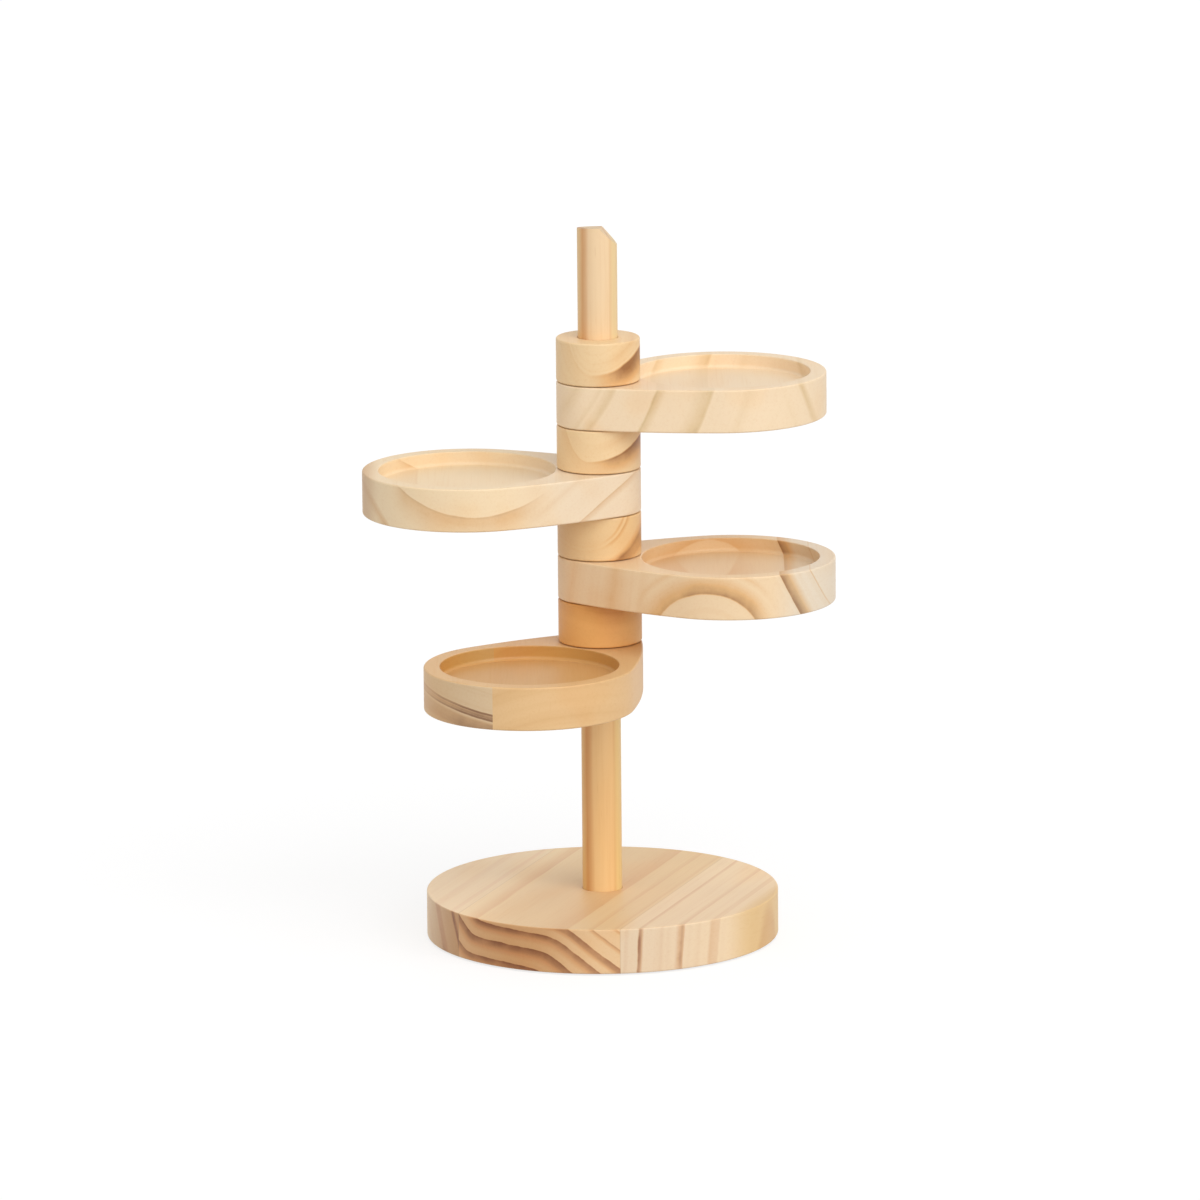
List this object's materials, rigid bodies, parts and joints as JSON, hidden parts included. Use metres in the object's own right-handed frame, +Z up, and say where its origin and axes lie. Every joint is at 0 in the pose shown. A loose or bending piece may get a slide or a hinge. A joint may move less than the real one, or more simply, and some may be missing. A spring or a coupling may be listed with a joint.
{
  "type": "rotating display shelf",
  "caption": "Pine display shelf: round dish trays that swivel about a slim post on a round base, spaced by collars, for jewellery and small items.",
  "frame": {"origin": "on the post's axis, in the plane that the shelf stands on (the underside of the felt pad)", "axes": "+Z up along the post, +X to the right and -Y towards the viewer of the picture"},
  "size_m": [0.1868, 0.1555, 0.2863],
  "materials": {
    "base_pine": "sanded, clear satin",
    "post_pine": "sanded, clear satin",
    "tray_pine": "sanded, clear satin",
    "warm_tray_pine": "sanded, clear satin",
    "collar_pine": "sanded, clear satin",
    "felt": "felted, matt",
    "steel": "zinc plated"
  },
  "bodies": {
    "stand": {"base_disc": "base_pine", "base_pad": "felt", "base_screw": "steel", "post": "post_pine", "stop_pin": "steel", "collar_1": "collar_pine", "collar_2": "collar_pine", "collar_3": "collar_pine", "collar_4": "collar_pine"},
    "tray_1": {"tray_1": "tray_pine"},
    "tray_2": {"tray_2": "tray_pine"},
    "tray_3": {"tray_3": "tray_pine"},
    "tray_4": {"tray_4": "warm_tray_pine"}
  },
  "joints": [
    {"name": "tray_1_swivel", "type": "hinge", "parent": "stand", "child": "tray_1", "pos_m": [0, 0, 0.2071], "axis": [0, 0, 1], "continuous": true},
    {"name": "tray_2_swivel", "type": "hinge", "parent": "stand", "child": "tray_2", "pos_m": [0, 0, 0.1721], "axis": [0, 0, 1], "continuous": true},
    {"name": "tray_3_swivel", "type": "hinge", "parent": "stand", "child": "tray_3", "pos_m": [0, 0, 0.1371], "axis": [0, 0, 1], "continuous": true},
    {"name": "tray_4_swivel", "type": "hinge", "parent": "stand", "child": "tray_4", "pos_m": [0, 0, 0.1021], "axis": [0, 0, 1], "continuous": true}
  ]
}
